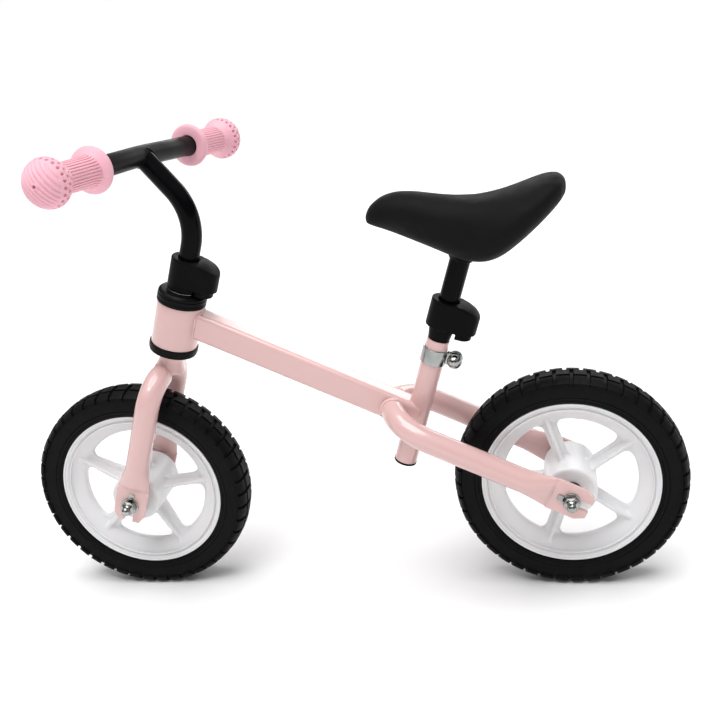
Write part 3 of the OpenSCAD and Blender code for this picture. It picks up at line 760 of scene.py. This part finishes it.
weld_bead("head_tube_weld", "head_tube", joint_spots(steering, head_r, 440, 540), 1.8)
weld_bead("left_stay_weld", "rear_stay", stay_joint_spots(1), 3.0, 0.08)
weld_bead("right_stay_weld", "rear_stay", stay_joint_spots(-1), 3.0, 0.08)

# %% [markdown]
# ## Frame tubes and headset
# The plug and the spacers only need an edge that catches the light, since no real edge is
# perfectly sharp. The head tube is turned on the lathe, and the top tube is its rounded section
# drawn out along the slope: large plain surfaces shade best when they have few, even faces.

# %% Plug, spacers, head tube and top tube
edged_copy("seat_tube_plug", 0.4)
for node in ("rear_axle_spacers", "front_axle_spacers"):
    edged_copy(node, 0.3)
head_low, head_high = 222, 280
shell = [(head_r - 3, head_low), (head_r, head_low), (head_r, head_high),
         (head_r - 3, head_high)]
add_piece("head_tube_turned", lathe(shell, steering, 0.8, steps=96), "head_tube")


def build_top_tube():
    """The rounded box section carried along the slope, over the length of the CAD tube."""
    to_slope = slope.inverted()
    along = [(to_slope @ v.co).x for v in frame["nodes"]["top_tube"].data.vertices]
    bm = bmesh.new()
    outline = [slope @ Vector((min(along), y * MM, z * MM)) for y, z in top_tube_outline(120)]
    rim = [bm.verts.new(spot) for spot in outline]
    end = bm.faces.new(rim)
    made = bmesh.ops.extrude_face_region(bm, geom=[end])["geom"]
    far = [g for g in made if isinstance(g, bmesh.types.BMVert)]
    length = slope.to_3x3() @ Vector((max(along) - min(along), 0, 0))
    bmesh.ops.translate(bm, vec=length, verts=far)
    print("top tube", round(max(along) - min(along), 3), "m long")
    return add_piece("top_tube_drawn", bm, "top_tube", crisp=30)


build_top_tube()

# %% [markdown]
# The fork's steerer is a slim tube with a flat race under the lower cup and a soft fillet down to
# the fork's bend. The seat tube is cut below its clamp, where a black bush takes over.

# %% Steerer and the cut seat tube
steerer = [(12.9, 184), (20, 184), (17, 190), (15.4, 197), (15.4, 205), (23.4, 208.6),
           (23.4, 210.6), (14.3, 210.6), (14.3, 331), (12.9, 331)]
add_piece("steerer_turned", lathe(steerer, steering, 0.8), "steerer_tube")


def cut_above(bm, frame_here, height):
    """Cuts a solid flat at that height and closes the cut."""
    made = bmesh.ops.bisect_plane(
        bm, geom=bm.verts[:] + bm.edges[:] + bm.faces[:],
        plane_co=frame_here @ Vector((0, 0, height * MM)),
        plane_no=frame_here.to_3x3() @ Vector((0, 0, 1)), clear_outer=True)["geom_cut"]
    rim = [g for g in made if isinstance(g, bmesh.types.BMEdge)]
    bmesh.ops.holes_fill(bm, edges=rim, sides=0)


bush_low = 107.5
seat_tube_bm = cad_copy("seat_tube")
cut_above(seat_tube_bm, seat_tube, bush_low)
add_piece("seat_tube_cut", seat_tube_bm, "seat_tube", crisp=30)

# %% [markdown]
# Each headset cup is a lathe job with a groove turned into its rim, which reads as two rings. A
# thin bright flange of the locknut shows above the cap.

# %% Headset cups, cap and locknut
cup_r = head_r + 1.5
upper_cup = [(14.6, 0.2), (cup_r, 0.2), (cup_r, 3.8), (cup_r - 0.9, 4.3), (cup_r - 0.9, 5.1),
             (cup_r, 5.6), (cup_r, 9.8), (14.6, 9.8)]
lower_cup = [(14.6, 0.2), (cup_r, 0.2), (cup_r, 6.6), (cup_r - 0.8, 7.1), (cup_r - 0.8, 7.7),
             (cup_r - 0.4, 8.2), (cup_r - 1.2, 10.6), (14.6, 10.6)]
cap = [(14.5, 0.4), (head_r + 1, 0.4), (head_r + 1, 3.0), (head_r - 2, 5.6), (18, 6.0),
       (14.5, 6.0)]
locknut = [(14.4, 0.2), (20.4, 0.2), (20.4, 1.6), (17.4, 1.9), (17.4, 7), (14.4, 7)]
cap_low, locknut_low = head_high + 10, head_high + 16
under_head = steering @ moved(z=head_low) @ turned("X", 180)
add_piece("upper_cup_turned", lathe(upper_cup, steering @ moved(z=head_high), 0.5),
          "upper_headset_cup")
add_piece("lower_cup_turned", lathe(lower_cup, under_head, 0.5), "lower_headset_cup")
add_piece("headset_cap_turned", lathe(cap, steering @ moved(z=cap_low), 0.5), "headset_cap")
add_piece("locknut_ring", lathe(locknut, steering @ moved(z=locknut_low), 0.3),
          "headset_locknut")

# %% [markdown]
# ## Clamp covers
# The two covers over the clamps are moulded in one piece, so they get the same soft corners as
# the wheels, from smaller cells. Two things are reshaped by moving points: the skirt that grips
# the seat tube is drawn in to a slim bush, and the flat sloping roofs are swelled into low domes.

# %% Moulded covers
cover_roof, roof_slope, roof_from = 35, 0.404, 12
roof_swell, swell_depth = 4.5, 7
swell_at, swell_along, swell_across = 28, 15, 24
seat_clamp_low, stem_clamp_low = 125, 304
skirt_split_r, skirt_outer_r, skirt_inner_r = 15.1, 13.2, 11


def slim_skirt(bm, frame_here, below):
    """Draws the skirt under a cover in to a slimmer bush."""
    back = frame_here.inverted()
    for v in bm.verts:
        spot = (back @ v.co) / MM
        distance = sqrt(spot.x ** 2 + spot.y ** 2)
        if spot.z < below and distance < skirt_split_r + 1.6:
            wanted = skirt_outer_r if distance > skirt_split_r else skirt_inner_r
            spot.x, spot.y = spot.x * wanted / distance, spot.y * wanted / distance
            v.co = frame_here @ (spot * MM)


def swell_roof(piece, frame_here):
    """Raises the flat sloping roof of a cover into a low dome."""
    back = frame_here.inverted()
    for v in piece.data.vertices:
        spot = (back @ v.co) / MM
        roof = cover_roof - roof_slope * max(0.0, -spot.x - roof_from)
        near_roof = max(0.0, min(1.0, (spot.z - roof + swell_depth) / swell_depth))
        along = max(0.0, 1 - ((spot.x + swell_at) / swell_along) ** 2)
        across = max(0.0, 1 - (spot.y / swell_across) ** 2)
        spot.z += roof_swell * near_roof * along * across
        v.co = frame_here @ (spot * MM)


def build_cover(node, tube, low, slim_below=None):
    """One cover on a tube, with its roof swelled and, if asked, its skirt slimmed."""
    bm = bmesh.new()
    bm.from_mesh(frame["nodes"][node].data)
    if slim_below:
        slim_skirt(bm, tube, slim_below)
    piece = relaxed(add_piece(node + "_moulded", bm, node), 1.0, 4)
    swell_roof(piece, tube @ moved(z=low))


build_cover("seat_clamp_cover", seat_tube, seat_clamp_low, slim_below=124)
build_cover("stem_clamp_cover", steering, stem_clamp_low)
stem_skirt_low = 298
stem_skirt = [(17.6, 0), (20.8, 0), (20.8, 8), (17.6, 8)]
add_piece("stem_clamp_skirt", lathe(stem_skirt, steering @ moved(z=stem_skirt_low), 0.8),
          like="stem_clamp_cover")

# %% [markdown]
# ## Axle nuts, tab washers and the band's bolt
# Bright fasteners are small, but they sparkle. A domed nut is a hexagon with a ball on top. A
# six-sided create_cone makes the hexagon, its edges are bevelled, and a lathe adds the dome. A
# tab washer is a turned ring with a small block on it, which hooks into the frame.

# %% Domed nuts and tab washers
nut_r, nut_low, nut_high = 10.2, 2, 9
washer_r, washer_hole_r, washer_t = 11.4, 5.2, 1.9
tab_length, tab_width, tab_out = 10, 7.5, 13.4


def hexagon(bm, corner_r, low, high, place, bevel=0.7):
    """A six-sided prism between two heights, with softened edges."""
    part = bmesh.new()
    bmesh.ops.create_cone(part, cap_ends=True, segments=6, radius1=corner_r * MM,
                          radius2=corner_r * MM, depth=(high - low) * MM)
    bmesh.ops.translate(part, vec=(0, 0, (low + high) / 2 * MM), verts=part.verts)
    bevel_edges(part, part.edges[:], bevel, 2)
    return place_in(part, place, bm)


washer = [(washer_hole_r, 0), (washer_r, 0), (washer_r, washer_t), (washer_hole_r, washer_t)]
dome = [(0, 18.6), (2.8, 18.0), (4.9, 16.4), (5.8, 14.2), (5.6, 12.0), (5.2, 10.6), (6.4, 9.2),
        (8.2, 7.8), (8.4, 6.4), (0, 6.4)]


def soft_block(bm, size, middle_at, place, bevel):
    """A block of that size in millimetres with softened edges, added to bm."""
    block = bmesh.new()
    bmesh.ops.create_cube(block, size=1)
    bmesh.ops.scale(block, vec=Vector(size) * MM, verts=block.verts)
    bmesh.ops.translate(block, vec=Vector(middle_at) * MM, verts=block.verts)
    bevel_edges(block, block.edges[:], bevel, 2)
    place_in(block, place, bm)


def fasteners(prefix, centre, half, tab_turn):
    """Both nuts and both washers of one axle."""
    nuts, washers = bmesh.new(), bmesh.new()
    for side in (-1, 1):
        outward = Matrix.Translation(centre) @ moved(0, side * (half + plate_t / 2), 0) \
            @ turned("Y", tab_turn) @ turned("X", -90 * side)
        hexagon(nuts, nut_r, nut_low, nut_high, outward)
        lathe(dome, outward @ moved(z=nut_low), 0.3, closed=False, steps=40, bm=nuts)
        lathe(washer, outward, 0.35, steps=48, bm=washers)
        soft_block(washers, (tab_length, tab_width, washer_t), (tab_out, 0, washer_t / 2),
                   outward, 0.6)
    add_piece(prefix + "_domed_nuts", nuts, prefix + "_axle_nuts", crisp=50)
    add_piece(prefix + "_tabs", washers, prefix + "_tab_washers", crisp=50)


rear_tab_turn, front_tab_turn = -26.86, -110
fasteners("rear", rear_axle, stay_half, rear_tab_turn)
fasteners("front", front_axle, fork_half, front_tab_turn)

# %% [markdown]
# The steel band is a strip bent round the tube. Its two ears are drawn together by a bolt and a
# nut, both with large round heads.

# %% Steel band, its ears and the round heads
band_low, band_h = 76, 20
ear_x, ear_in, ear_out = 26.2, 2.4, 4.4
arm_length, arm_width, arm_in = 12, 15, 8


def build_band():
    strip = [(14.3, 0), (16.2, 0), (16.2, band_h), (14.3, band_h)]
    bm = lathe(strip, seat_tube @ moved(z=band_low), 0.5)
    for side in (-1, 1):
        ear = seat_tube @ moved(-ear_x, 0, band_low + band_h / 2) @ turned("X", -90 * side)
        lathe([(4, ear_in), (8.2, ear_in), (8.2, ear_out), (4, ear_out)], ear, 0.5, bm=bm)
        soft_block(bm, (arm_length, arm_width, ear_out - ear_in),
                   (arm_in, 0, (ear_out + ear_in) / 2), ear, 0.5)
    add_piece("steel_band_bent", bm, "steel_band", crisp=50)


def round_head(name, node, side):
    place = seat_tube @ moved(-ear_x, side * ear_out, band_low + band_h / 2) \
        @ turned("X", -90 * side)
    button = [(0, 10.5), (2.6, 10.2), (5.2, 9.0), (7.4, 7.0), (8.9, 4.4), (9.4, 2.0),
              (9.0, 0.1), (0, 0.1)]
    add_piece(name, lathe(button, place, 0.2, closed=False, steps=48), node, crisp=60)


build_band()
round_head("band_bolt_head", "steel_band_bolt", 1)
round_head("band_nut_head", "steel_band_nut", -1)

# %% [markdown]
# ## Handlebar and stem
# Both are plain round tube, so both are rings pulled along stations. The stem rises along the
# steering line and bends forward, and the bar is swept back a little in the middle. A bead closes
# the weld between them.

# %% Bar, stem and their weld
bar_turn, stem_lean, stem_bend_r = -11, 61, 70
stem_low_s, stem_bend_s, stem_reach = 225, 396, 97.5
bar_tube_r, bar_end_r, bar_sweep = 12.7, 11.0, 2.3
bar_spots = (12, 30, 104, 110, 205)
stem_frame = steering @ turned("Z", bar_turn)
bar_frame = stem_frame @ moved(stem_reach * sin(radians(stem_lean)), 0,
                               stem_bend_s + stem_reach * cos(radians(stem_lean)))


def stem_stations(bend_steps=24):
    """Straight up the steering line, round the bend and on towards the bar."""
    bend_low = stem_bend_s - stem_bend_r * tan(radians(stem_lean / 2))
    stations = [stem_frame @ moved(z=stem_low_s), stem_frame @ moved(z=bend_low)]
    for step in range(1, bend_steps + 1):
        angle = stem_lean * step / bend_steps
        stations.append(stem_frame @ moved(stem_bend_r, 0, bend_low)
                        @ turned("Y", angle) @ moved(-stem_bend_r, 0, 0))
    stations.append(stem_frame @ moved(z=stem_bend_s) @ turned("Y", stem_lean)
                    @ moved(z=stem_reach - 4))
    return stations


def along_bar(side):
    return bar_frame @ turned("Z", side * bar_sweep) @ turned("X", -90 * side)


def bar_stations():
    """From one end of the bar to the other, thinner inside the grips."""
    stations = []
    for side, spots in ((-1, bar_spots[::-1]), (1, bar_spots)):
        for spot in spots:
            thin = bar_end_r / bar_tube_r if spot > 104 else 1.0
            flip = turned("X", 180) if side < 0 else Matrix.Identity(4)
            stations.append(along_bar(side) @ moved(z=spot) @ flip @ scaled(thin, thin))
    return stations


add_piece("stem_bent", pull_tube(bar_tube_r, stem_stations(), sides=48), "handlebar_stem",
          crisp=50)
add_piece("bar_bent", pull_tube(bar_tube_r, bar_stations(), sides=48), "handlebar", crisp=50,
          material=satin_black)


def stem_joint_spots(count=140):
    """The stem's outline carried on until it meets the bar."""
    slanted = stem_frame @ moved(z=stem_bend_s) @ turned("Y", stem_lean)
    seam_r = bar_tube_r + 0.2
    spots = []
    for step in range(count):
        angle = 2 * pi * step / count
        x, y = seam_r * cos(angle), seam_r * sin(angle)
        reach = stem_reach - sqrt(max(bar_tube_r ** 2 - x ** 2, 0.0))
        spots.append(slanted @ (Vector((x, y, min(reach, stem_reach - 1))) * MM))
    return spots


weld_bead("bar_weld", "handlebar_stem", stem_joint_spots(), 1.6)

# %% [markdown]
# ## Grips
# A grip is soft rubber: a round flange inside, a ribbed neck, and a big domed end that protects
# the rider. The lathe makes the body with many steps. The ribs are strips of faces that are
# inset and raised, and the dome's grooves and dimples are pressed in by moving its points.

# %% Grip body, ribs and dimples
neck_r, neck_end = 16.6, 62.0
dome_r, dome_z, dome_h = 27.6, 84.0, 24.0
rib_count, steps_per_rib = 32, 8
rib_start, rib_end, rib_h = 14.5, 66, 1.1
slot_gap, slot_half, slot_turn = 4.8, 1.1, radians(58)
slot_rise, slot_depth = 11, 1.5
hole_row_z, hole_row_gap, hole_r, holes_round = 85.0, 5.6, 1.9, 22
hole_depth, vent_r, vent_depth = 5.0, 1.7, 9.0
grip_start = 102


def ease(t):
    """Leaves 0 and comes to 1 gently."""
    return t * t * (3 - 2 * t)


def grip_section():
    section = [(0, 60), (11.2, 60), (11.2, 4.0), (13.4, 2.6), (13.6, 0.0), (22.5, 0.0),
               (25.4, 0.8), (26.8, 2.4), (27.2, 4.4), (26.6, 6.4), (24.4, 8.6), (21.2, 10.8),
               (18.8, 13.2), (17.4, 16), (16.9, 20), (neck_r, 26)]
    section += [(neck_r, z) for z in (34, 42, 50)]
    rows = 30
    for row in range(rows + 1):
        t = row / rows
        section.append((neck_r + (dome_r - neck_r) * ease(t), neck_end + (dome_z - neck_end) * t))
    arcs = 40
    for step in range(1, arcs):
        angle = radians(90 * step / arcs)
        section.append((dome_r * cos(angle), dome_z + dome_h * sin(angle)))
    section.append((0, dome_z + dome_h))
    return section


def raise_ribs(bm):
    """Strips of faces along the neck, six steps wide with two steps between."""
    strips = {}
    for face in bm.faces:
        spot = face.calc_center_median()
        if rib_start * MM < spot.z < rib_end * MM:
            turn = (Vector((spot.x, spot.y)).angle_signed(Vector((1, 0))) / (2 * pi)) % 1
            step = int(turn * rib_count * steps_per_rib)
            if step % steps_per_rib < steps_per_rib - 2:
                strips.setdefault(step // steps_per_rib, []).append(face)
    for faces in strips.values():
        bmesh.ops.inset_region(bm, faces=faces, thickness=0.35 * MM, depth=rib_h * MM,
                               use_even_offset=True, use_boundary=True)


def press_in(bm):
    """Parallel slots across the dome's end and rows of small holes round its shoulder."""
    for v in bm.verts:
        x, y, z = v.co / MM
        distance = sqrt(x * x + y * y)
        depth = 0.0
        if z > dome_z + slot_rise and distance > 3.6:
            across = (x * cos(slot_turn) + y * sin(slot_turn)) / slot_gap + 0.5
            inside = 1 - ((across - round(across)) * slot_gap / slot_half) ** 2
            depth = slot_depth * max(0.0, inside) * min(1.0, (z - dome_z - slot_rise) / 1.2)
        elif z > dome_z - 13 and distance > 17:
            row = round((z - hole_row_z) / hole_row_gap)
            if abs(row) <= 1:
                turn = (Vector((x, y)).angle_signed(Vector((1, 0))) / (2 * pi)) % 1
                hole = turn * holes_round + 0.5 * (row % 2)
                along = (hole - round(hole)) * 2 * pi * distance / holes_round
                up = z - hole_row_z - row * hole_row_gap
                depth = hole_depth * max(0.0, 1 - (along ** 2 + up ** 2) / hole_r ** 2)
        if distance < vent_r and z > dome_z:
            depth = vent_depth
        if depth:
            v.co -= v.normal * depth * MM


def build_grip(name, node, side):
    bm = lathe(grip_section(), Matrix.Identity(4), closed=False,
               steps=rib_count * steps_per_rib)
    face_outward(bm)
    press_in(bm)
    raise_ribs(bm)
    place_in(bm, along_bar(side) @ moved(z=grip_start))
    add_piece(name, bm, node, crisp=60)


build_grip("left_grip_moulded", "left_grip", 1)
build_grip("right_grip_moulded", "right_grip", -1)

# %% [markdown]
# ## Saddle
# The saddle is foam under a soft black skin, shaped like a shallow boat. Cross-sections along it
# give the half width and the lowest and highest point; rings are pulled through them. A remesh
# and a relax make one even body, and a short cloth simulation with a little pressure inside
# fills it out as foam does. No point may move further than a few millimetres.

# %% Padded saddle
saddle_s = 211  # millimetres up the seat tube's line to the saddle's underside
saddle_bolt_s = 219
pad_pressure, pad_frames, pad_swell = 3.0, 14, 5.0
saddle_sections = [(107, 7, 53, 63), (104, 14, 52, 70), (98, 20, 51, 77), (80, 26, 47, 88),
                   (52, 32, 34, 87), (22, 41, 19, 77), (-10, 52, 2, 70), (-42, 63, 0, 71),
                   (-72, 66, 23, 82), (-98, 57, 46, 94), (-114, 43, 62, 98), (-122, 29, 71, 95),
                   (-126, 14, 78, 88)]


def saddle_loft(sides=48, fullness=0.88):
    """Rings whose outline is a little fuller than an ellipse, joined along the saddle."""
    bm = bmesh.new()
    origin = seat_tube @ Vector((0, 0, saddle_s * MM))
    rings = []
    for x, half, low, high in saddle_sections:
        ring = []
        for step in range(sides):
            angle = 2 * pi * step / sides
            across = abs(cos(angle)) ** fullness * (1 if cos(angle) > 0 else -1)
            rise = abs(sin(angle)) ** fullness * (1 if sin(angle) > 0 else -1)
            spot = Vector((x, half * across, (low + high) / 2 + (high - low) / 2 * rise))
            ring.append(bm.verts.new(origin + spot * MM))
        rings.append([bm.edges.new((a, b)) for a, b in zip(ring, ring[1:] + ring[:1])])
    for here, there in zip(rings, rings[1:]):
        bmesh.ops.bridge_loops(bm, edges=here + there)
    bmesh.ops.holes_fill(bm, edges=[e for e in bm.edges if e.is_boundary], sides=0)
    return bm


def capped(piece, start, limit):
    """No point may lie further than limit millimetres from where it started."""
    for v, home in zip(piece.data.vertices, start):
        step = v.co - home
        if step.length > limit * MM:
            v.co = home + step * (limit * MM / step.length)


def inflate(piece, pressure, frames):
    """Lets the skin swell like cloth for some frames and keeps the shape it has then."""
    cloth = piece.modifiers.new("cloth", "CLOTH")
    cloth.settings.use_pressure = True
    cloth.settings.uniform_pressure_force = pressure
    cloth.settings.effector_weights.gravity = 0
    cloth.point_cache.frame_start = 1
    cloth.point_cache.frame_end = frames
    for number in range(1, frames + 1):
        scene.frame_set(number)
    bake_modifiers(piece)
    scene.frame_set(1)


pad = add_piece("saddle_padded", saddle_loft(), "saddle_pad")
rounder = pad.modifiers.new("rounder", "SUBSURF")
rounder.levels = rounder.render_levels = 2
bake_modifiers(pad)
relaxed(pad, 4.5, 6)
homes = [v.co.copy() for v in pad.data.vertices]
inflate(pad, pad_pressure, pad_frames)
capped(pad, homes, pad_swell)
skin = pad.modifiers.new("skin", "SUBSURF")
skin.levels = skin.render_levels = 1
print("saddle pad", len(pad.data.polygons), "faces")

# %% [markdown]
# Under the pad a round collar takes the seat post and flares softly into the saddle. The heads
# of the cross bolt are black and sit inside the collar.

# %% Collar, post and cross bolt
collar = [(13.0, 2), (14.4, 2), (15.2, 5), (17.6, 9), (22, 13), (22, 24), (13.0, 24)]
add_piece("saddle_collar", lathe(collar, seat_tube @ moved(z=saddle_s), 1.2), "saddle_base")
edged_copy("seat_post", 0.4)
for node, side in (("saddle_bolt", 1), ("saddle_nut", -1)):
    place = seat_tube @ moved(z=saddle_bolt_s) @ turned("X", -90 * side)
    add_piece(node + "_head", lathe([(0, 10), (5, 10), (5, 19.5), (0, 19.5)], place, 0.6,
                                    closed=False, steps=32), node, material=clamp_plastic)
